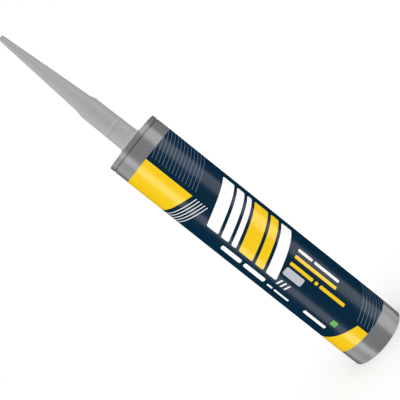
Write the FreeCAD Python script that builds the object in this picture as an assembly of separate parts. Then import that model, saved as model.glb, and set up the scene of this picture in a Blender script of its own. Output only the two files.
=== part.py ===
"""A full caulk cartridge with its nozzle screwed on, standing on its open rear rim.

All sizes are in millimetres. The origin is the centre of the rear rim and +Z runs to the nozzle's tip.
The front of the label faces -Y.
"""

import FreeCAD
import Part
import math
import os

# Barrel: one moulding, open at the rear, with a closed front wall and a neck
barrel_radius = 24.0
barrel_length = 227.0
barrel_wall = 1.2
front_wall = 2.0
front_edge_chamfer = 0.6
inner_chamfer = 1.0

# Groove round the barrel, just behind its front edge
front_band = 2.9
groove_width = 1.2
groove_depth = 0.5
groove_slope = 0.2

# Rear end: the wall tapers a little outside and the bore is eased inside, so a push plate enters freely
rear_taper_length = 9.0
rear_taper = 0.25
rim_chamfer = 0.2
entry_length = 18.0
entry_relief = 0.3
entry_ramp = 1.0

# Neck and the raised ring round its foot, on which the nozzle seats
neck_radius = 6.7
neck_height = 15.6
neck_wall = 1.3
neck_chamfer = 0.5
membrane = 0.6
seat_radius = 10.0
seat_height = 0.4
thread_height = 0.6

# Nozzle, with its heights measured from the barrel's front face
nozzle_length = 116.0
nozzle_wall = 1.4
foot_radius = 9.6
foot_height = 0.5
foot_flare_height = 1.9
socket_outer_radius = 8.85
socket_height = 17.2
socket_floor = 0.8
socket_lead_in = 0.4
ring_step = 0.1
collar_radius = 8.62
shoulder_radius = 8.26
shoulder_height = 38.6
shoulder_slope_height = 4.8
cone_radius = 7.05
shoulder_rounding = 1.2
shoulder_chamfer = 0.4
tip_radius = 2.1
tip_chamfer = 0.9
tip_solid = 3.5
channel_tip_radius = 0.8

# Plunger, a thin cup that opens to the rear
plunger_rear_height = 20.0
plunger_height = 18.0
plunger_plate = 1.4
plunger_wall = 1.1
lip_width = 1.6
lip_slope = 0.8
lip_depth = 0.55
front_lip_setback = 2.2
plunger_edge_drop = 1.0
plunger_inner_chamfer = 0.8
hub_radius = 9.0
hub_wall = 1.1
hub_height = 4.5
rib_count = 8
rib_thickness = 1.0
rib_height = 6.0

# Label film, wound once round the barrel and lapped over itself at the back
label_bottom = 15.5
label_top = 211.3
label_film = 0.08
label_lap = 9.0
label_lap_ramp = 2.5
label_lap_angle = 115.0

# Clearances
plunger_clearance = 0.05
thread_clearance = 0.2
seat_gap = 0.1
paste_to_wall = 0.05
paste_to_plunger = 0.3
glue_line = 0.02

# Sizes that follow from the ones above
bore_radius = barrel_radius - barrel_wall
entry_radius = bore_radius + entry_relief
rim_radius = barrel_radius - rear_taper
front_inside = barrel_length - front_wall
neck_top = barrel_length + neck_height
neck_bore_radius = neck_radius - neck_wall
nozzle_base = barrel_length + seat_height + seat_gap
socket_radius = neck_radius + thread_height + thread_clearance
plunger_front_height = plunger_rear_height + plunger_height
plunger_radius = bore_radius - plunger_clearance
label_inner_radius = barrel_radius + glue_line


def rounded(radius, height, arc_radius):
    """Corner of a half section that is eased by an arc."""
    return (radius, height, arc_radius, "arc")


def chamfered(radius, height, cut):
    """Corner of a half section that is cut off straight, this far along both its sides."""
    return (radius, height, cut, "flat")


def half_section(corners):
    """Face in the XZ plane. A corner is (radius, height), or is made by rounded or chamfered."""
    points = [FreeCAD.Vector(corner[0], 0, corner[1]) for corner in corners]
    starts = []
    ends = []
    edges = []
    for i, point in enumerate(points):
        if len(corners[i]) == 2:
            starts.append(point)
            ends.append(point)
            continue
        size, easing = corners[i][2:]
        back = (points[i - 1] - point).normalize()
        ahead = (points[(i + 1) % len(points)] - point).normalize()
        half_turn = back.getAngle(ahead) / 2
        setback = size if easing == "flat" else size / math.tan(half_turn)
        starts.append(point + back * setback)
        ends.append(point + ahead * setback)
        if easing == "flat":
            edges.append(Part.makeLine(starts[i], ends[i]))
            continue
        to_middle = size / math.sin(half_turn) - size
        middle = point + (back + ahead).normalize() * to_middle
        edges.append(Part.Arc(starts[i], middle, ends[i]).toShape())
    for i, end in enumerate(ends):
        following = starts[(i + 1) % len(points)]
        edges.append(Part.makeLine(end, following))
    return Part.Face(Part.Wire(Part.sortEdges(edges)[0]))


def turned(corners):
    """Solid of revolution about Z."""
    axis = FreeCAD.Vector(0, 0, 1)
    return half_section(corners).revolve(FreeCAD.Vector(0, 0, 0), axis, 360)


def barrel():
    """Tube, front wall, groove, nozzle seat and the neck with its membrane, as one moulding."""
    groove_top = barrel_length - front_band
    groove_bottom = groove_top - groove_width
    groove_floor_radius = barrel_radius - groove_depth
    membrane_under = neck_top - membrane
    rear = [
        (entry_radius, 0),
        chamfered(rim_radius, 0, rim_chamfer),
        (barrel_radius, rear_taper_length),
    ]
    groove = [
        (barrel_radius, groove_bottom),
        (groove_floor_radius, groove_bottom + groove_slope),
        (groove_floor_radius, groove_top - groove_slope),
        (barrel_radius, groove_top),
    ]
    front = [
        chamfered(barrel_radius, barrel_length, front_edge_chamfer),
        (seat_radius, barrel_length),
        (seat_radius, barrel_length + seat_height),
        (neck_radius, barrel_length + seat_height),
        chamfered(neck_radius, neck_top, neck_chamfer),
        (0, neck_top),
    ]
    inside = [
        (0, membrane_under),
        (neck_bore_radius, membrane_under),
        chamfered(neck_bore_radius, front_inside, inner_chamfer),
        chamfered(bore_radius, front_inside, inner_chamfer),
        (bore_radius, entry_length + entry_ramp),
        (entry_radius, entry_length),
    ]
    return turned(rear + groove + front + inside)


def nozzle():
    """Screw-on nozzle: socket, collar, shoulder and a long cone with a closed tip."""
    front = barrel_length
    ring_height = front + socket_height
    shoulder_foot = front + shoulder_height
    cone_foot = shoulder_foot + shoulder_slope_height
    tip_height = front + nozzle_length
    channel_end = tip_height - tip_solid
    collar_foot_radius = collar_radius - ring_step
    flare_top = nozzle_base + foot_height + foot_flare_height
    outside = [
        (foot_radius, nozzle_base),
        (foot_radius, nozzle_base + foot_height),
        (socket_outer_radius, flare_top),
        (collar_radius, ring_height),
        (collar_foot_radius, ring_height + ring_step),
        chamfered(shoulder_radius, shoulder_foot, shoulder_chamfer),
        rounded(cone_radius, cone_foot, shoulder_rounding),
        chamfered(tip_radius, tip_height, tip_chamfer),
        (0, tip_height),
    ]
    inside = [
        (0, channel_end),
        (channel_tip_radius, channel_end),
        (cone_radius - nozzle_wall, cone_foot),
        (shoulder_radius - nozzle_wall, shoulder_foot),
        (collar_foot_radius - nozzle_wall, ring_height - socket_floor),
        (socket_radius, ring_height - socket_floor),
        (socket_radius, nozzle_base + socket_lead_in),
        (socket_radius + socket_lead_in, nozzle_base),
    ]
    return turned(outside + inside)


def plunger():
    """Cup with two sealing lips outside, and a low hub and radial ribs on its floor."""
    rear = plunger_rear_height
    front = plunger_front_height
    waist_radius = plunger_radius - lip_depth
    inner_radius = waist_radius - plunger_wall
    plate_under = front - plunger_plate
    front_lip_top = front - front_lip_setback
    front_lip_bottom = front_lip_top - lip_width
    rear_lip_top = rear + lip_width
    cup = turned(
        [
            (inner_radius, rear),
            (plunger_radius, rear),
            (plunger_radius, rear_lip_top),
            (waist_radius, rear_lip_top + lip_slope),
            (waist_radius, front_lip_bottom - lip_slope),
            (plunger_radius, front_lip_bottom),
            (plunger_radius, front_lip_top),
            (waist_radius, front_lip_top + lip_slope),
            (waist_radius, front - plunger_edge_drop),
            (waist_radius - plunger_edge_drop, front),
            (0, front),
            (0, plate_under),
            chamfered(inner_radius, plate_under, plunger_inner_chamfer),
        ]
    )
    into_plate = plunger_plate / 2
    hub_bottom = plate_under - hub_height
    hub_top = plate_under + into_plate
    hub = turned(
        [
            (hub_radius - hub_wall, hub_bottom),
            (hub_radius, hub_bottom),
            (hub_radius, hub_top),
            (hub_radius - hub_wall, hub_top),
        ]
    )
    rib_foot_radius = hub_radius - hub_wall / 2
    rib_bottom = plate_under - rib_height
    rib_end_radius = inner_radius + plunger_wall / 2
    rib_profile = Part.makePolygon(
        [
            FreeCAD.Vector(rib_foot_radius, 0, hub_bottom),
            FreeCAD.Vector(rib_end_radius, 0, rib_bottom),
            FreeCAD.Vector(rib_end_radius, 0, hub_top),
            FreeCAD.Vector(rib_foot_radius, 0, hub_top),
            FreeCAD.Vector(rib_foot_radius, 0, hub_bottom),
        ]
    )
    rib_profile.translate(FreeCAD.Vector(0, -rib_thickness / 2, 0))
    rib = Part.Face(rib_profile).extrude(FreeCAD.Vector(0, rib_thickness, 0))
    ribs = []
    for i in range(rib_count):
        turned_rib = rib.copy()
        angle = (i + 0.5) * 360 / rib_count
        turned_rib.rotate(FreeCAD.Vector(0, 0, 0), FreeCAD.Vector(0, 0, 1), angle)
        ribs.append(turned_rib)
    return cup.multiFuse([hub] + ribs).removeSplitter()


def sealant():
    """The paste, from the plunger's plate to the front wall and up the neck to the membrane."""
    side = bore_radius - paste_to_wall
    rear = plunger_front_height + paste_to_plunger
    front = front_inside - paste_to_wall
    neck_side = neck_bore_radius - paste_to_wall
    neck_end = neck_top - membrane - paste_to_wall
    return turned(
        [
            (0, rear),
            (side, rear),
            chamfered(side, front, inner_chamfer),
            chamfered(neck_side, front, inner_chamfer),
            (neck_side, neck_end),
            (0, neck_end),
        ]
    )


def film_arc(radius, start, end):
    """Edge on a circle about Z at the label's bottom, from one angle to another in radians."""
    centre = FreeCAD.Vector(0, 0, label_bottom)
    circle = Part.Circle(centre, FreeCAD.Vector(0, 0, 1), radius)
    return Part.ArcOfCircle(circle, start, end).toShape()


def label():
    """Film that goes once round the barrel, then climbs over its own start and ends a lap further on."""
    first_inner = label_inner_radius
    first_outer = first_inner + label_film
    lap_inner = first_outer + glue_line
    lap_outer = lap_inner + label_film
    start = math.radians(label_lap_angle)
    full_turn = start + 2 * math.pi
    ramp_start = full_turn - label_lap_ramp / first_inner
    end = full_turn + label_lap / lap_inner
    inner_arc = film_arc(first_inner, start, ramp_start)
    lap_inner_arc = film_arc(lap_inner, full_turn, end)
    outer_arc = film_arc(first_outer, start, ramp_start)
    lap_outer_arc = film_arc(lap_outer, full_turn, end)

    def joined(first_arc, first_end, second_arc, second_end):
        corner = first_arc.Vertexes[first_end].Point
        return Part.makeLine(corner, second_arc.Vertexes[second_end].Point)

    edges = [
        inner_arc,
        joined(inner_arc, 1, lap_inner_arc, 0),
        lap_inner_arc,
        joined(lap_inner_arc, 1, lap_outer_arc, 1),
        lap_outer_arc,
        joined(lap_outer_arc, 0, outer_arc, 1),
        outer_arc,
        joined(outer_arc, 0, inner_arc, 0),
    ]
    section = Part.Face(Part.Wire(Part.sortEdges(edges)[0]))
    return section.extrude(FreeCAD.Vector(0, 0, label_top - label_bottom))


def main():
    os.makedirs("parts", exist_ok=True)
    pieces = {
        "barrel": barrel(),
        "nozzle": nozzle(),
        "plunger": plunger(),
        "sealant": sealant(),
        "label": label(),
    }
    for name, shape in pieces.items():
        volume_cm3 = round(shape.Volume / 1000, 2)
        print(name, len(shape.Solids), "solid", volume_cm3, "cm3", "valid:", shape.isValid())
        shape.exportStep("parts/" + name + ".step")


main()
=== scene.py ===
"""Looks of a full caulk cartridge: barrel, screw-on nozzle, plunger, paste and printed label.

Lengths are in metres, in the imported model's own frame: the rear rim stands on z = 0, the nozzle points up
and the front of the label faces -Y. Angles are in degrees where a name says so, and else in radians.
"""

import math

import bpy
from mathutils import Matrix, Vector
from mathutils.geometry import delaunay_2d_cdt


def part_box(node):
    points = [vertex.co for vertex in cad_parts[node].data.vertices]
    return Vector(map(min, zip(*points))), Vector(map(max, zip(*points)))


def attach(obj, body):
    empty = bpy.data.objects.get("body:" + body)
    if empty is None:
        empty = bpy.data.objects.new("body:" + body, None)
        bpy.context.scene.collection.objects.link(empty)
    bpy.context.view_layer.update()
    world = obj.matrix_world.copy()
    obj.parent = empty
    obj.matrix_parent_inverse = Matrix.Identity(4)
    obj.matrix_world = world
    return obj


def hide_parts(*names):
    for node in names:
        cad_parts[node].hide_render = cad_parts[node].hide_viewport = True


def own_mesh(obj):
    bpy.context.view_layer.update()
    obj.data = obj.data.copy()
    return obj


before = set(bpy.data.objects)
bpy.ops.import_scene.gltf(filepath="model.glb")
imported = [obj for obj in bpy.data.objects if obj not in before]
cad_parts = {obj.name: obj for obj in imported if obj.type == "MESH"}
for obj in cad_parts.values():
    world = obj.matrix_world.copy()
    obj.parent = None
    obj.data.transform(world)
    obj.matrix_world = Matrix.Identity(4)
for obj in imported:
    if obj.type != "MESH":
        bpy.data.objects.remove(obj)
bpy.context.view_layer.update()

bl_info = {
    "name": "Caulk cartridge",
    "version": (1, 0, 0),
    "blender": (4, 5, 0),
    "location": "View3D > Sidebar > Cartridge",
    "description": "Builds the looks of a full caulk cartridge round its solids",
    "category": "Add Mesh",
}

MM = 0.001
TURN = 2 * math.pi

# Places taken from the solids
_, BARREL_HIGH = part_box("barrel")
NOZZLE_LOW, NOZZLE_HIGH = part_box("nozzle")
LABEL_LOW, LABEL_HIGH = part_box("label")
PASTE_LOW, PASTE_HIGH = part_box("sealant")
BARREL_RADIUS = BARREL_HIGH.x
NECK_TOP = BARREL_HIGH.z
NOZZLE_BASE = NOZZLE_LOW.z
NOZZLE_TIP = NOZZLE_HIGH.z
PASTE_RADIUS = PASTE_HIGH.x

# Sizes that the barrel, the nozzle and the paste share
NECK_HEIGHT = 15.6 * MM
FRONT_WALL = 2.0 * MM
FRONT_FACE = NECK_TOP - NECK_HEIGHT
FRONT_INSIDE = FRONT_FACE - FRONT_WALL
NECK_ROOT_RADIUS = 6.7 * MM
NECK_BORE_RADIUS = NECK_ROOT_RADIUS - 1.3 * MM
THREAD_HEIGHT = 0.6 * MM
THREAD_PITCH = 3.0 * MM
SOCKET_RADIUS = 7.5 * MM


def linear(colour):
    """Scene-linear red, green and blue of a colour given as it shows on a screen."""
    return [c / 12.92 if c <= 0.04045 else ((c + 0.055) / 1.055) ** 2.4 for c in colour]


def screen_colour(name, description, red, green, blue):
    """Colour property, given by its levels from 0 to 255 on a screen."""
    return bpy.props.FloatVectorProperty(
        name=name,
        description=description,
        subtype="COLOR_GAMMA",
        size=3,
        min=0,
        max=1,
        default=(red / 255, green / 255, blue / 255),
    )


def length(name, description, default):
    return bpy.props.FloatProperty(
        name=name, description=description, default=default, min=0, unit="LENGTH", precision=5
    )


def share(name, description, default):
    return bpy.props.FloatProperty(
        name=name, description=description, default=default, min=0, max=1, subtype="FACTOR"
    )


def strength(name, description, default):
    return bpy.props.FloatProperty(name=name, description=description, default=default, min=0)


# Materials


class Nodes:
    """Short names for adding nodes to a node tree and joining them."""

    def __init__(self, tree):
        self.tree = tree

    def add(self, kind, inputs=None, **settings):
        """Node with its settings, and with constants for some of its inputs."""
        node = self.tree.nodes.new("ShaderNode" + kind)
        for key, value in settings.items():
            setattr(node, key, value)
        self.set_inputs(node, inputs or {})
        return node

    def set_inputs(self, node, inputs):
        for key, value in inputs.items():
            node.inputs[key].default_value = value

    def join(self, output, target):
        self.tree.links.new(output, target)

    def spread(self, value, from_low, from_high, to_low, to_high):
        """The value, carried from one range to another and kept inside that."""
        limits = {"From Min": from_low, "From Max": from_high, "To Min": to_low, "To Max": to_high}
        spread = self.add("MapRange", limits)
        self.join(value, spread.inputs["Value"])
        return spread.outputs["Result"]


class MaterialNodes(Nodes):
    """Nodes of one new material round its Principled shader."""

    def __init__(self, name):
        self.material = bpy.data.materials.new(name)
        self.material.use_nodes = True
        super().__init__(self.material.node_tree)
        self.shader = self.tree.nodes["Principled BSDF"]

    def coordinates(self):
        """Places on the piece in metres."""
        return self.add("TexCoord").outputs["Object"]

    def noise(self, scale, detail=3.0, stretch=(1, 1, 1)):
        """Noise with that many features to the metre, drawn out along an axis by a small factor."""
        mapping = self.add("Mapping", {"Scale": stretch})
        self.join(self.coordinates(), mapping.inputs["Vector"])
        texture = self.add("TexNoise", {"Scale": scale, "Detail": detail})
        self.join(mapping.outputs["Vector"], texture.inputs["Vector"])
        return texture.outputs["Fac"]

    def between(self, noise, low, high):
        """The noise, which is mostly from 0.3 to 0.7, spread over another range."""
        return self.spread(noise, 0.3, 0.7, low, high)

    def mixed_colour(self, noise, first, second):
        mix = self.add("Mix", {"A": first, "B": second}, data_type="RGBA")
        self.join(self.between(noise, 0, 1), mix.inputs["Factor"])
        return mix.outputs["Result"]

    def mottled(self, noise, colour, darkest, lightest):
        """A colour as it shows on a screen, made darker and lighter by the noise."""
        darker, lighter = ([c * factor for c in linear(colour)] + [1.0] for factor in (darkest, lightest))
        return self.mixed_colour(noise, darker, lighter)

    def brightened(self, colour, brightness):
        scaled = self.add("VectorMath", operation="SCALE")
        self.join(colour, scaled.inputs[0])
        self.join(brightness, scaled.inputs["Scale"])
        return scaled.outputs["Vector"]

    def roughened(self, noise, roughness, change):
        """Shader's roughness, which the noise takes up and down by the change."""
        uneven = self.between(noise, roughness - change, roughness + change)
        self.join(uneven, self.shader.inputs["Roughness"])

    def bumps(self, layers):
        """Bump layers, each a noise, its depth in metres and its strength, laid on one after the other."""
        normal = None
        for noise, depth, amount in layers:
            bump = self.add("Bump", {"Distance": depth, "Strength": amount})
            self.join(noise, bump.inputs["Height"])
            if normal:
                self.join(normal, bump.inputs["Normal"])
            normal = bump.outputs["Normal"]
        self.join(normal, self.shader.inputs["Normal"])


def moulded_plastic(name, colour, roughness, gloss, softness, grain_depth, ring=None, painted_light_foot=None):
    """Polyethylene from a mould: slightly cloudy, with drawn-out flow marks and a fine matt grain.

    A ring and a fade near the base are each given by a lowest and a highest place and a brightness. The
    ring has its
    brightness all over: painted shade where it is below 1, a painted highlight where it is above. The fade
    is painted light that goes from its brightness, at its lowest place, to the plain colour, against the
    shade at a piece's base.
    """
    nodes = MaterialNodes(name)
    clouds = nodes.noise(45, stretch=(1, 1, 0.35))
    tint = nodes.mottled(clouds, colour, 0.955, 1.045)
    places = nodes.add("SeparateXYZ")
    nodes.join(nodes.coordinates(), places.inputs["Vector"])
    height = places.outputs["Z"]
    # Painted light and shade: a band of heights whose colour is scaled by the ring's brightness
    if ring:
        low, high, brightness = ring
        in_painted_band = nodes.add("Math", {1: (low + high) / 2, 2: (high - low) / 2}, operation="COMPARE")
        nodes.join(height, in_painted_band.inputs[0])
        change = nodes.add("Math", {1: brightness - 1, 2: 1}, operation="MULTIPLY_ADD")
        nodes.join(in_painted_band.outputs["Value"], change.inputs[0])
        tint = nodes.brightened(tint, change.outputs["Value"])
    # Painted light: the colour is brightened at the lowest place and fades to plain at the highest, against
    # the shade that falls there
    if painted_light_foot:
        low, high, brightness = painted_light_foot
        tint = nodes.brightened(tint, nodes.spread(height, low, high, brightness, 1))
    nodes.join(tint, nodes.shader.inputs["Base Color"])
    scuffs = nodes.noise(160, detail=5, stretch=(1, 1, 0.2))
    nodes.roughened(scuffs, roughness, 0.035)
    nodes.set_inputs(nodes.shader, {
        "IOR": 1.5,
        "Specular IOR Level": gloss,
        "Subsurface Weight": softness,
        "Subsurface Radius": (1.0, 0.9, 0.8),
        "Subsurface Scale": 1.5 * MM,
    })
    flow = nodes.noise(30, detail=2, stretch=(1, 1, 0.12))
    grain = nodes.noise(2600, detail=2)
    nodes.bumps([(flow, 0.25 * MM, 0.35), (grain, grain_depth, 0.5)])
    return nodes.material


def printed_film(name, ink, roughness, gloss):
    """Printed plastic film: an even ink with a faint mottle under a satin face, never quite flat."""
    nodes = MaterialNodes(name)
    mottle = nodes.noise(900, detail=4)
    nodes.join(nodes.mottled(mottle, ink, 0.97, 1.03), nodes.shader.inputs["Base Color"])
    handling = nodes.noise(120, detail=5)
    nodes.roughened(handling, roughness, 0.03)
    nodes.set_inputs(nodes.shader, {"IOR": 1.47, "Specular IOR Level": gloss})
    slack = nodes.noise(28, detail=1, stretch=(1, 1, 0.3))
    peel = nodes.noise(420, detail=2)
    nodes.bumps([(slack, 0.4 * MM, 0.2), (peel, 0.012 * MM, 0.35)])
    return nodes.material


def wet_paste(name, colour):
    """Smooth sealant paste with a wet face and a few drawn ripples."""
    nodes = MaterialNodes(name)
    cloud = nodes.noise(80)
    nodes.join(nodes.mottled(cloud, colour, 0.93, 1.05), nodes.shader.inputs["Base Color"])
    wet = nodes.noise(200)
    nodes.roughened(wet, 0.23, 0.07)
    ripple = nodes.noise(120)
    nodes.bumps([(ripple, 0.6 * MM, 0.5)])
    return nodes.material


# Meshes


def eased(corners, steps=5):
    """Outline with rounded corners. A corner is a radius, a height and, if it is rounded, an arc radius."""
    outline = []
    for i, corner in enumerate(corners):
        point = Vector(corner[:2])
        if len(corner) == 2:
            outline.append(tuple(point))
            continue
        arc_radius = corner[2]
        back = (Vector(corners[i - 1][:2]) - point).normalized()
        ahead = (Vector(corners[(i + 1) % len(corners)][:2]) - point).normalized()
        half_turn = back.angle(ahead) / 2
        centre = point + (back + ahead).normalized() * (arc_radius / math.sin(half_turn))
        setback = arc_radius / math.tan(half_turn)
        start = point + back * setback - centre
        end = point + ahead * setback - centre
        turn = start.angle_signed(end)
        for k in range(steps + 1):
            outline.append(tuple(centre + Matrix.Rotation(-turn * k / steps, 2) @ start))
    return outline


def finished_mesh(name, points, faces, loop_normals, materials, face_materials=None):
    """Object from points, faces and the normal at each face corner."""
    mesh = bpy.data.meshes.new(name)
    mesh.from_pydata(points, [], faces)
    mesh.polygons.foreach_set("use_smooth", [True] * len(faces))
    for material in materials:
        mesh.materials.append(material)
    if face_materials:
        mesh.polygons.foreach_set("material_index", face_materials)
    mesh.normals_split_custom_set(loop_normals)
    mesh.update()
    piece = bpy.data.objects.new(name, mesh)
    bpy.context.scene.collection.objects.link(piece)
    return piece


def outline_normals(outline):
    """Normals at both ends of each side of a closed outline, joined over gentle corners."""
    gentle = math.radians(38)
    count = len(outline)
    sides = []
    for i in range(count):
        along = Vector(outline[(i + 1) % count]) - Vector(outline[i])
        sides.append(Vector((along.y, -along.x)).normalized())

    def joined(own, other):
        if own.length == 0 or other.length == 0 or own.angle(other) > gentle:
            return own
        return (own + other).normalized()

    normals = []
    for i, side in enumerate(sides):
        normals.append((joined(side, sides[i - 1]), joined(side, sides[(i + 1) % count])))
    return normals


def turned_piece(name, outline, steps, material, ridge_angles=(), ridge_height=0.0):
    """Body of revolution about Z. At the ridge angles, parting lines stand out by the ridge height."""
    same_place = 1e-5 * MM
    on_axis = 1e-4 * MM
    ridge_from_radius = NECK_ROOT_RADIUS / 4
    outline = [p for i, p in enumerate(outline) if (Vector(p) - Vector(outline[i - 1])).length > same_place]
    normals = outline_normals(outline)
    angles = [TURN * k / steps for k in range(steps)]
    ridge_steps = {round(angle / TURN * steps) % steps for angle in ridge_angles}
    points = []
    rings = []
    for radius, height in outline:
        if radius < on_axis:
            rings.append([len(points)] * steps)
            points.append((0, 0, height))
            continue
        rings.append([len(points) + k for k in range(steps)])
        for k, angle in enumerate(angles):
            on_ridge = k in ridge_steps and radius > ridge_from_radius
            lifted = radius + ridge_height if on_ridge else radius
            points.append((lifted * math.cos(angle), lifted * math.sin(angle), height))
    faces = []
    loop_normals = []
    for i, (start_normal, end_normal) in enumerate(normals):
        lower = rings[i]
        upper = rings[(i + 1) % len(rings)]
        if lower[0] == lower[1] and upper[0] == upper[1]:
            continue
        for k in range(steps):
            following = (k + 1) % steps
            corners = [
                (lower[k], angles[k], start_normal),
                (lower[following], angles[following], start_normal),
                (upper[following], angles[following], end_normal),
                (upper[k], angles[k], end_normal),
            ]
            if lower[0] == lower[1]:
                corners.pop(1)
            if upper[0] == upper[1]:
                corners.pop(2)
            faces.append([corner[0] for corner in corners])
            for _, angle, normal in corners:
                loop_normals.append((normal.x * math.cos(angle), normal.x * math.sin(angle), normal.y))
    return finished_mesh(name, points, faces, loop_normals, [material])


def helical_ridge(name, root_radius, crest_radius, low, high, material):
    """Screw thread: one right-hand ridge that grows from nothing and fades out again."""
    steps_a_turn = 72
    fading_turns = 0.16
    least_share = 0.02
    base_half = 0.85 * MM
    crest_half = 0.32 * MM
    bevel_width = 0.12 * MM
    sunk_depth = 0.08 * MM
    turns = (high - low) / THREAD_PITCH
    count = int(turns * steps_a_turn)
    sunk_radius = root_radius + math.copysign(sunk_depth, root_radius - crest_radius)
    points = []
    for k in range(count + 1):
        turned = k / steps_a_turn
        angle = TURN * turned
        share_of_fade = min(1, turned / fading_turns, (turns - turned) / fading_turns)
        ease = max(least_share, math.sin(share_of_fade * math.pi / 2))
        middle = low + THREAD_PITCH * turned
        crest = root_radius + (crest_radius - root_radius) * ease
        section = [
            (sunk_radius, -base_half * ease),
            (crest, -crest_half * ease),
            (crest, crest_half * ease),
            (sunk_radius, base_half * ease),
        ]
        for radius, rise in section:
            points.append((radius * math.cos(angle), radius * math.sin(angle), middle + rise))
    faces = []
    for k in range(count):
        a = 4 * k
        b = a + 4
        for i in range(4):
            j = (i + 1) % 4
            faces.append((a + i, b + i, b + j, a + j))
    faces.append((0, 1, 2, 3))
    faces.append((4 * count + 3, 4 * count + 2, 4 * count + 1, 4 * count))
    mesh = bpy.data.meshes.new(name)
    mesh.from_pydata(points, [], faces)
    if crest_radius > root_radius:
        mesh.flip_normals()
    mesh.materials.append(material)
    piece = bpy.data.objects.new(name, mesh)
    bpy.context.scene.collection.objects.link(piece)
    bevel = piece.modifiers.new("soft edges", "BEVEL")
    bevel.width = bevel_width
    bevel.segments = 2
    bevel.limit_method = "ANGLE"
    bevel.harden_normals = True
    mesh.polygons.foreach_set("use_smooth", [True] * len(faces))
    return piece


# Label, drawn flat: u runs round it to the right of its front line, z up the cartridge

# The film starts at the left of the back and its end laps over that start. Angles run from the front line.
LABEL_LINE = BARREL_RADIUS + 0.02 * MM
FILM = 0.08 * MM
LAP = 9.0 * MM
LAP_STEP = 0.1 * MM
LAP_RAMP = 2.5 * MM
FILM_START = math.radians(-155)
FULL_TURN = FILM_START + TURN
FILM_END = FULL_TURN + LAP / (LABEL_LINE + LAP_STEP)
SLANT = 0.3


def slanted_panel(left, right, low, high, lean):
    """Shape with two upright sides. Its top and bottom lean, and pass through low and high at u = 0."""
    return [
        (left, low + lean * left),
        (right, low + lean * right),
        (right, high + lean * right),
        (left, high + lean * left),
    ]


def plain_panel(left, right, low, high):
    return slanted_panel(left, right, low, high, 0)


def clipped(shape, low, high):
    """The part of a convex shape that lies between two heights."""
    for limit, side in ((low, 1), (high, -1)):
        kept = []
        for i, (u, z) in enumerate(shape):
            before_u, before_z = shape[i - 1]
            inside = side * (z - limit) >= 0
            if inside != (side * (before_z - limit) >= 0):
                part = (limit - before_z) / (z - before_z)
                kept.append((before_u + (u - before_u) * part, limit))
            if inside:
                kept.append((u, z))
        shape = kept
    return shape


def label_artwork(low, high):
    """Colour name and shape of everything printed on the ground colour, from the bottom layer to the top.

    Places and sizes are in millimetres until they reach show. Heights start from the label's lower edge.
    """
    shapes = []

    def show(colour, shape, corner_radius=0.0):
        """Keep a convex shape, with its corners rounded and cut off at the label's edges."""
        placed = [(u * MM, low + z * MM) for u, z in shape]
        if corner_radius:
            placed = eased([(u, z, corner_radius * MM) for u, z in placed], steps=4)
        cut = clipped(placed, low, high)
        if len(cut) > 2:
            shapes.append((colour, cut))

    def show_lines(colour, left, right, lean, first, pitch, count, thickness):
        for k in range(count):
            edge = first + k * pitch
            show(colour, slanted_panel(left, right, edge, edge + thickness, lean))

    # Both ends: a yellow panel on the left and pinstripes on the right
    front_end = (high - low) / MM
    cut_off = 30
    panel_left = -50
    panel_edge = 154.5
    show("yellow", slanted_panel(panel_left, -3, panel_edge, front_end + cut_off, -SLANT))
    show_lines("white", panel_left + 2, -3, -SLANT, panel_edge - 3.95, -2.4, 5, 0.55)
    show("yellow", slanted_panel(panel_left, -2, -cut_off, 8.6, -SLANT))
    for lowest, count in ((155.3, 14), (-12.2, 9)):
        show_lines("pinstripe", 0, 52, SLANT, lowest, 2.9, count, 0.34)

    # Block of wide slanted bars in the middle: colour and thickness, from the top
    bar_top = 138.8
    bar_gap = 2.6
    bars = [("white", 10), ("white", 6.5), ("white", 4), ("yellow", 12), ("yellow", 7), ("white", 9)]
    for colour, thickness in bars:
        show(colour, slanted_panel(-13.5, 25.5, bar_top - thickness, bar_top, SLANT), 1.1)
        bar_top -= thickness + bar_gap

    # Rows of bars where printing would run: colour, middle, width, top, lengths down the row and gap
    rows = [
        ("white", -20.4, 4.6, 117.1, (17.5, 18.5), 2.6),
        ("white", 14.4, 2.3, 74.1, (12.5, 22.0), 1.9),
        ("yellow", 8.8, 2.5, 73.7, (36.8,), 1.9),
        ("yellow", 2.9, 2.5, 73.7, (20.0, 2.6, 22.0), 1.9),
        ("white", -21.6, 2.0, 75.3, (4.6, 13.0), 1.6),
        ("white", -19.6, 3.0, 43.5, (19.5,), 1.9),
    ]
    for colour, middle, width, top, lengths, gap in rows:
        for bar in lengths:
            show(colour, plain_panel(middle - width / 2, middle + width / 2, top - bar, top), width * 0.3)
            top -= bar + gap

    # Small shapes: a plain panel, three short slanted lines and a square
    show("light_grey", plain_panel(-6.3, -0.3, 57.9, 73.7), 1.2)
    show_lines("white", -15.4, -10.2, -SLANT, 66.2, -3.4, 3, 1.1)
    show("green", plain_panel(-14.0, -9.6, 19.8, 24.5), 0.6)
    return shapes


def label_radius(angle):
    """Radius of the film's inner face. It climbs over the film's own start where it laps."""
    ramp_start = FULL_TURN - LAP_RAMP / LABEL_LINE
    climbed = min(1, max(0, (angle - ramp_start) / (FULL_TURN - ramp_start)))
    return LABEL_LINE + LAP_STEP * climbed


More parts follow.
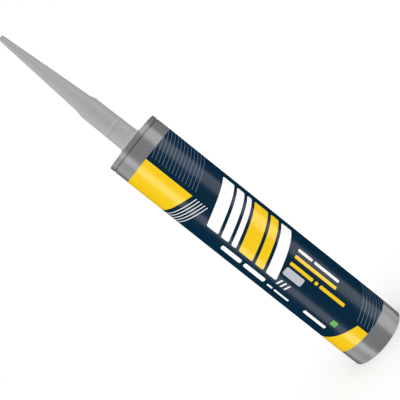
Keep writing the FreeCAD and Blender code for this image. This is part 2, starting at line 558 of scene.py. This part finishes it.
def rolled_label(name, low, high, inks):
    """Film cut by its printed shapes and rolled round the barrel, as one closed mesh."""
    colours = list(inks)
    left = FILM_START * LABEL_LINE
    right = FILM_END * LABEL_LINE
    shapes = [("ground", plain_panel(left, right, low, high))] + label_artwork(low, high)
    places = []
    edges = []
    outlines = []
    for _, shape in shapes:
        first = len(places)
        places += [Vector(place) for place in shape]
        outlines.append(list(range(first, len(places))))
    # Cuts along the film, so that it bends smoothly and has an edge at both ends of the lap's ramp
    columns = 168
    ramp_end = FULL_TURN * LABEL_LINE
    stations = [left + (right - left) * k / columns for k in range(1, columns)]
    for station in stations + [ramp_end - LAP_RAMP, ramp_end]:
        edges.append((len(places), len(places) + 1))
        places += [Vector((station, low)), Vector((station, high))]
    inside_only = 1
    same_place = 1e-5 * MM
    cut = delaunay_2d_cdt(places, edges, outlines, inside_only, same_place, True)
    flat, _, faces, _, _, face_shapes = cut

    points = []
    radial = []
    for depth in (FILM, 0.0):
        for place in flat:
            angle = place.x / LABEL_LINE
            radius = label_radius(angle) + depth
            points.append((radius * math.sin(angle), -radius * math.cos(angle), place.y))
            out = 1 if depth else -1
            radial.append((out * math.sin(angle), -out * math.cos(angle), 0))
    behind = len(flat)
    mesh_faces = []
    face_materials = []
    loop_normals = []
    sides = []
    for face, found in zip(faces, face_shapes):
        colour = shapes[max(found)][0]
        mesh_faces.append(list(face))
        mesh_faces.append([behind + corner for corner in reversed(face)])
        face_materials += [colours.index(colour), colours.index("backing")]
        loop_normals += [radial[corner] for corner in mesh_faces[-2] + mesh_faces[-1]]
        sides += zip(face, face[1:] + face[:1])
    shared = set(sides)
    for a, b in sides:
        if (b, a) in shared:
            continue
        mesh_faces.append([b, a, behind + a, behind + b])
        face_materials.append(colours.index("backing"))
        side = Vector(points[a]) - Vector(points[b])
        outward = side.cross(Vector(points[behind + a]) - Vector(points[a])).normalized()
        loop_normals += [tuple(outward)] * 4
    return finished_mesh(name, points, mesh_faces, loop_normals, list(inks.values()), face_materials)


# Settings that a user would change


class CartridgeBarrelSettings(bpy.types.PropertyGroup):
    colour: screen_colour("Colour", "Colour of the barrel's plastic", 118, 119, 120)
    roughness: share("Roughness", "How matt the barrel is", 0.25)
    gloss: share("Gloss", "How strongly the barrel reflects", 0.6)
    edge_rounding: length("Edge rounding", "Rounding of the front edge", 0.55 * MM)
    thread_height: length("Thread height", "How far the neck's thread stands out", THREAD_HEIGHT)


class CartridgeNozzleSettings(bpy.types.PropertyGroup):
    colour: screen_colour("Colour", "Colour of the nozzle's plastic", 166, 166, 167)
    roughness: share("Roughness", "How matt the nozzle is", 0.5)
    gloss: share("Gloss", "How strongly the nozzle reflects", 0.19)
    parting_line: length("Parting line", "How far the mould's parting lines stand out", 0.035 * MM)


class CartridgeLabelSettings(bpy.types.PropertyGroup):
    ground: screen_colour("Ground", "Ground colour of the print", 1, 39, 61)
    yellow: screen_colour("Yellow", "Colour of the large panels", 248, 204, 0)
    white: screen_colour("White", "Colour of the white bars", 254, 254, 254)
    pinstripe: screen_colour("Pinstripe", "Colour of the thin lines", 112, 124, 144)
    light_grey: screen_colour("Light grey", "Colour of the small plain panel", 190, 194, 200)
    green: screen_colour("Green", "Colour of the small square", 88, 168, 62)
    roughness: share("Roughness", "How matt the film is", 0.24)
    gloss: share("Gloss", "How strongly the film reflects", 0.2)
    yellow_gloss: share("Yellow gloss", "How strongly the yellow ink reflects", 0.35)


class CartridgeFillSettings(bpy.types.PropertyGroup):
    plunger_colour: screen_colour("Plunger", "Colour of the plunger's plastic", 226, 226, 220)
    paste_colour: screen_colour("Paste", "Colour of the paste", 150, 151, 152)


class CartridgeStageSettings(bpy.types.PropertyGroup):
    distance: length("Camera distance", "From the camera to the cartridge's axis plane", 0.56)
    floor_light: strength("Floor light", "How brightly the floor shows", 0.27)
    room_light: strength("Room light", "Even light from all round", 1.0)


# Operators


class CartridgeBarrel(bpy.types.Operator):
    """Make the barrel with its groove, front wall, neck and thread"""

    bl_idname = "cartridge.barrel"
    bl_label = "Barrel"

    def execute(self, context):
        settings = context.scene.cartridge_barrel
        rim_radius = BARREL_RADIUS - 0.25 * MM
        taper_end = 9.0 * MM
        bore_radius = BARREL_RADIUS - 1.2 * MM
        entry_radius = bore_radius + 0.3 * MM
        entry_end = 18.0 * MM
        groove_top = FRONT_FACE - 3.5 * MM
        groove_bottom = groove_top - 1.0 * MM
        groove_radius = BARREL_RADIUS - 0.55 * MM
        groove_slope = 0.15 * MM
        seat_radius = 10.0 * MM
        seat_top = FRONT_FACE + 0.4 * MM
        membrane_under = NECK_TOP - 0.6 * MM
        thread_margin = 1.6 * MM
        small = 0.12 * MM
        outline = eased([
            (entry_radius, 0, small),
            (rim_radius, 0, 0.2 * MM),
            (BARREL_RADIUS, taper_end, 40 * MM),
            (BARREL_RADIUS, groove_bottom, small),
            (groove_radius, groove_bottom + groove_slope, small),
            (groove_radius, groove_top - groove_slope, small),
            (BARREL_RADIUS, groove_top, small),
            (BARREL_RADIUS, FRONT_FACE, settings.edge_rounding),
            (seat_radius, FRONT_FACE, small),
            (seat_radius, seat_top, small),
            (NECK_ROOT_RADIUS, seat_top, small),
            (NECK_ROOT_RADIUS, NECK_TOP, 0.45 * MM),
            (0, NECK_TOP),
            (0, membrane_under),
            (NECK_BORE_RADIUS, membrane_under, small),
            (NECK_BORE_RADIUS, FRONT_INSIDE, 0.9 * MM),
            (bore_radius, FRONT_INSIDE, 0.9 * MM),
            (bore_radius, entry_end + 1.0 * MM),
            (entry_radius, entry_end),
        ])
        plastic = moulded_plastic(
            "barrel_plastic",
            settings.colour,
            settings.roughness,
            settings.gloss,
            softness=0.08,
            grain_depth=0.012 * MM,
            # Painted shade: the groove's band is darkened to 0.6 of the plain colour, standing in for the
            # shadow in the groove
            ring=(groove_bottom, groove_top, 0.6),
        )
        tube = turned_piece("barrel_shell", outline, 192, plastic)
        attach(tube, "barrel")
        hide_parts("barrel")
        thread = helical_ridge(
            "neck_thread",
            NECK_ROOT_RADIUS,
            NECK_ROOT_RADIUS + settings.thread_height,
            seat_top + thread_margin,
            NECK_TOP - thread_margin,
            plastic,
        )
        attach(thread, "barrel")
        return {"FINISHED"}


class CartridgeNozzle(bpy.types.Operator):
    """Make the screw-on nozzle with its socket thread"""

    bl_idname = "cartridge.nozzle"
    bl_label = "Nozzle"

    def execute(self, context):
        settings = context.scene.cartridge_nozzle
        wall = 1.4 * MM
        foot_top = NOZZLE_BASE + 0.5 * MM
        flare_radius = 8.85 * MM
        flare_top = foot_top + 1.9 * MM
        collar_radius = 8.63 * MM
        bead_radius = 8.7 * MM
        ring = FRONT_FACE + 17.2 * MM
        body_radius = 8.52 * MM
        shoulder_radius = 8.26 * MM
        shoulder_foot = FRONT_FACE + 38.6 * MM
        cone_radius = 7.05 * MM
        cone_foot = shoulder_foot + 4.8 * MM
        tip_radius = 2.1 * MM
        socket_top = ring - 0.8 * MM
        lead_in = 0.4 * MM
        channel_end = NOZZLE_TIP - 3.5 * MM
        channel_end_radius = 0.8 * MM
        small = 0.15 * MM
        bead_edge = 0.1 * MM
        outline = eased([
            (NOZZLE_HIGH.x, NOZZLE_BASE, small),
            (NOZZLE_HIGH.x, foot_top, 0.2 * MM),
            (flare_radius, flare_top, 1.0 * MM),
            (collar_radius, ring - 0.4 * MM, 0.2 * MM),
            (bead_radius, ring - 0.25 * MM, bead_edge),
            (bead_radius, ring, bead_edge),
            (body_radius, ring + 0.15 * MM, bead_edge),
            (shoulder_radius, shoulder_foot, 1.2 * MM),
            (cone_radius, cone_foot, 2.0 * MM),
            (tip_radius, NOZZLE_TIP, 1.3 * MM),
            (0, NOZZLE_TIP),
            (0, channel_end),
            (channel_end_radius, channel_end),
            (cone_radius - wall, cone_foot, 1.0 * MM),
            (shoulder_radius - wall, shoulder_foot, 1.0 * MM),
            (body_radius - wall, socket_top, small),
            (SOCKET_RADIUS, socket_top, small),
            (SOCKET_RADIUS, NOZZLE_BASE + lead_in),
            (SOCKET_RADIUS + lead_in, NOZZLE_BASE),
        ])
        plastic = moulded_plastic(
            "nozzle_plastic",
            settings.colour,
            settings.roughness,
            settings.gloss,
            softness=0.25,
            grain_depth=0.005 * MM,
            # Painted highlight: the band at the bead is made 1.45 times lighter, standing in for light
            # catching its edge
            ring=(ring - 0.4 * MM, ring + 0.1 * MM, 1.45),
            # Painted light: the lowest 15 mm fade from 1.5 times lighter to plain, against the shade of the
            # barrel's front face
            painted_light_foot=(NOZZLE_BASE, NOZZLE_BASE + 15 * MM, 1.5),
        )
        parting = [math.radians(degrees) for degrees in (28, 208)]
        cone = turned_piece("nozzle_cone", outline, 180, plastic, parting, settings.parting_line)
        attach(cone, "nozzle")
        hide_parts("nozzle")
        thread = helical_ridge(
            "socket_thread",
            SOCKET_RADIUS,
            NECK_ROOT_RADIUS + 0.3 * MM,
            NOZZLE_BASE + 3.0 * MM,
            socket_top - 2.4 * MM,
            plastic,
        )
        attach(thread, "nozzle")
        return {"FINISHED"}


class CartridgeLabel(bpy.types.Operator):
    """Print the label film and roll it round the barrel"""

    bl_idname = "cartridge.label"
    bl_label = "Label"

    def execute(self, context):
        settings = context.scene.cartridge_label
        inks = {}
        for ink in ("ground", "yellow", "white", "pinstripe", "light_grey", "green"):
            colour = getattr(settings, ink)
            gloss = settings.yellow_gloss if ink == "yellow" else settings.gloss
            inks[ink] = printed_film("film_" + ink, colour, settings.roughness, gloss)
        inks["backing"] = printed_film("film_backing", settings.white, 0.5, 0.3)
        film = rolled_label("label_film", LABEL_LOW.z, LABEL_HIGH.z, inks)
        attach(film, "barrel")
        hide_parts("label")
        return {"FINISHED"}


class CartridgePlunger(bpy.types.Operator):
    """Finish the plunger in natural polyethylene"""

    bl_idname = "cartridge.plunger"
    bl_label = "Plunger"

    def execute(self, context):
        settings = context.scene.cartridge_fill
        plastic = moulded_plastic(
            "plunger_plastic", settings.plunger_colour, 0.42, 0.4, softness=0.3, grain_depth=0.01 * MM
        )
        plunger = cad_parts["plunger"]
        plunger.data.materials.clear()
        plunger.data.materials.append(plastic)
        return {"FINISHED"}


class CartridgePaste(bpy.types.Operator):
    """Fill the barrel and the neck with paste"""

    bl_idname = "cartridge.paste"
    bl_label = "Paste"

    def execute(self, context):
        settings = context.scene.cartridge_fill
        gap = 0.05 * MM
        neck_radius = NECK_BORE_RADIUS - gap
        front = FRONT_INSIDE - gap
        outline = eased([
            (0, PASTE_LOW.z),
            (PASTE_RADIUS, PASTE_LOW.z, 0.4 * MM),
            (PASTE_RADIUS, front, 1.0 * MM),
            (neck_radius, front, 0.8 * MM),
            (neck_radius, PASTE_HIGH.z, 0.3 * MM),
            (0, PASTE_HIGH.z),
        ])
        paste = turned_piece("paste_fill", outline, 96, wet_paste("sealant_paste", settings.paste_colour))
        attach(paste, "barrel")
        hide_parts("sealant")
        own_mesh(paste)
        return {"FINISHED"}


class CartridgeStage(bpy.types.Operator):
    """Set up the pale floor, the soft lights and the camera"""

    bl_idname = "cartridge.stage"
    bl_label = "Stage"

    def execute(self, context):
        settings = context.scene.cartridge_stage
        self.lay_floor(context, settings)
        self.light_room(context, settings)
        self.hang_strips(context)
        self.place_camera(context, settings)
        return {"FINISHED"}

    def lay_floor(self, context, settings):
        """Wide round floor that stays white under the lights and takes the contact shadow."""
        floor_radius = 9.0
        rings = 40
        steps = 96
        points = [(0, 0, 0)]
        faces = []
        for i in range(1, rings + 1):
            radius = floor_radius * (i / rings) ** 2
            for k in range(steps):
                angle = TURN * k / steps
                points.append((radius * math.cos(angle), radius * math.sin(angle), 0))
                a = 1 + (i - 1) * steps + k
                b = 1 + (i - 1) * steps + (k + 1) % steps
                if i == 1:
                    faces.append((0, a, b))
                else:
                    faces.append((a - steps, a, b, b - steps))
        mesh = bpy.data.meshes.new("floor")
        mesh.from_pydata(points, [], faces)
        floor = bpy.data.objects.new("floor", mesh)
        context.scene.collection.objects.link(floor)
        nodes = MaterialNodes("floor_paper")
        paper = nodes.noise(900, detail=2)
        tint = nodes.mixed_colour(paper, (0.78, 0.78, 0.78, 1), (0.8, 0.8, 0.8, 1))
        nodes.join(tint, nodes.shader.inputs["Base Color"])
        nodes.set_inputs(nodes.shader, {
            "Roughness": 0.9,
            "Specular IOR Level": 0.0,
            "Emission Color": (1, 1, 1, 1),
            "Emission Strength": settings.floor_light,
        })
        mesh.materials.append(nodes.material)
        floor.visible_glossy = False
        floor.visible_shadow = False

    def light_room(self, context, settings):
        """Soft light from all round, a little stronger from the left. The camera sees plain white."""
        left_strength = settings.room_light * 1.1
        right_strength = settings.room_light * 0.86
        world = bpy.data.worlds.new("room")
        context.scene.world = world
        context.scene.view_settings.view_transform = "Standard"
        world.use_nodes = True
        world.cycles_visibility.glossy = False
        world.node_tree.nodes.clear()
        nodes = Nodes(world.node_tree)
        direction = nodes.add("TexCoord")
        parts = nodes.add("SeparateXYZ")
        nodes.join(direction.outputs["Generated"], parts.inputs["Vector"])
        around = nodes.add("Background", {"Color": (1, 1, 1, 1)})
        falloff = nodes.spread(parts.outputs["X"], -1, 1, left_strength, right_strength)
        nodes.join(falloff, around.inputs["Strength"])
        seen = nodes.add("Background", {"Color": (1, 1, 1, 1), "Strength": 1.0})
        rays = nodes.add("LightPath")
        in_sight = nodes.add("MixShader")
        nodes.join(rays.outputs["Is Camera Ray"], in_sight.inputs["Fac"])
        nodes.join(around.outputs["Background"], in_sight.inputs[1])
        nodes.join(seen.outputs["Background"], in_sight.inputs[2])
        output = nodes.add("OutputWorld")
        nodes.join(in_sight.outputs["Shader"], output.inputs["Surface"])

    def hang_strips(self, context):
        """Upright strip lights that only draw highlights, two of them on the bare plastic alone."""
        bare_plastic = bpy.data.collections.new("bare plastic")
        for piece in ("barrel_shell", "nozzle_cone"):
            bare_plastic.objects.link(bpy.data.objects[piece])
        # Name, bearing and half angle in degrees, lowest and highest place, radiance, and what it lights
        strips = [
            ("right_strip", 62.5, 22, -0.89, 1.01, 4.0, None),
            ("right_low_strip", 105, 20.5, -0.65, -0.15, 2.0, bare_plastic),
            ("left_strip", -57, 13, -0.89, 1.01, 4.8, None),
            ("left_far_strip", -100.5, 26.5, -0.89, 1.01, 1.6, bare_plastic),
        ]
        distance = 1.1
        for name, bearing, half_angle, low, high, radiance, receivers in strips:
            light = bpy.data.lights.new(name, "AREA")
            light.shape = "RECTANGLE"
            light.size = 2 * distance * math.tan(math.radians(half_angle))
            light.size_y = high - low
            light.energy = radiance * math.pi * light.size * light.size_y
            lamp = bpy.data.objects.new(name, light)
            turn = math.radians(bearing)
            offset = Vector((math.sin(turn), -math.cos(turn), 0)) * distance
            lamp.location = offset + Vector((0, 0, (low + high) / 2))
            lamp.rotation_mode = "QUATERNION"
            lamp.rotation_quaternion = offset.to_track_quat("Z", "Y")
            lamp.visible_diffuse = False
            lamp.visible_camera = False
            lamp.light_linking.receiver_collection = receivers
            context.scene.collection.objects.link(lamp)

    def place_camera(self, context, settings):
        """Camera a little above the middle, rolled so that the nozzle points to the upper left."""
        picture_width = 0.285
        eye_height = 204 * MM
        roll_degrees = 51.46
        aim = Vector((-2.0 * MM, 0, 163.4 * MM))
        eye = Vector((aim.x, -settings.distance, eye_height))
        data = bpy.data.cameras.new("camera")
        data.sensor_width = 36.0
        data.lens = data.sensor_width * (eye - aim).length / picture_width
        camera = bpy.data.objects.new("camera", data)
        camera.location = eye
        camera.rotation_mode = "QUATERNION"
        upright = (aim - eye).to_track_quat("-Z", "Y")
        roll = Matrix.Rotation(math.radians(-roll_degrees), 3, "Z").to_quaternion()
        camera.rotation_quaternion = upright @ roll
        context.scene.collection.objects.link(camera)
        context.scene.camera = camera


class CartridgePanel(bpy.types.Panel):
    """Settings of the cartridge and a button for each of its pieces"""

    bl_idname = "VIEW3D_PT_cartridge"
    bl_label = "Caulk cartridge"
    bl_space_type = "VIEW_3D"
    bl_region_type = "UI"
    bl_category = "Cartridge"

    def draw(self, context):
        for operators, group in PANEL_ROWS:
            box = self.layout.box()
            settings = getattr(context.scene, group)
            for name in settings.bl_rna.properties.keys():
                if name not in ("rna_type", "name"):
                    box.prop(settings, name)
            for operator in operators:
                box.operator(operator.bl_idname)


SETTINGS = {
    "cartridge_barrel": CartridgeBarrelSettings,
    "cartridge_nozzle": CartridgeNozzleSettings,
    "cartridge_label": CartridgeLabelSettings,
    "cartridge_fill": CartridgeFillSettings,
    "cartridge_stage": CartridgeStageSettings,
}
PANEL_ROWS = [
    ([CartridgeBarrel], "cartridge_barrel"),
    ([CartridgeNozzle], "cartridge_nozzle"),
    ([CartridgeLabel], "cartridge_label"),
    ([CartridgePlunger, CartridgePaste], "cartridge_fill"),
    ([CartridgeStage], "cartridge_stage"),
]
OPERATORS = [operator for operators, _ in PANEL_ROWS for operator in operators]


def register():
    for group in SETTINGS.values():
        bpy.utils.register_class(group)
    for operator in OPERATORS:
        bpy.utils.register_class(operator)
    bpy.utils.register_class(CartridgePanel)
    for name, group in SETTINGS.items():
        setattr(bpy.types.Scene, name, bpy.props.PointerProperty(type=group))


def unregister():
    for name in SETTINGS:
        delattr(bpy.types.Scene, name)
    bpy.utils.unregister_class(CartridgePanel)
    for operator in reversed(OPERATORS):
        bpy.utils.unregister_class(operator)
    for group in reversed(list(SETTINGS.values())):
        bpy.utils.unregister_class(group)


def main():
    register()
    bpy.ops.cartridge.barrel()
    bpy.ops.cartridge.nozzle()
    bpy.ops.cartridge.label()
    bpy.ops.cartridge.plunger()
    bpy.ops.cartridge.paste()
    bpy.ops.cartridge.stage()
    bpy.context.view_layer.update()


if __name__ == "__main__":
    main()
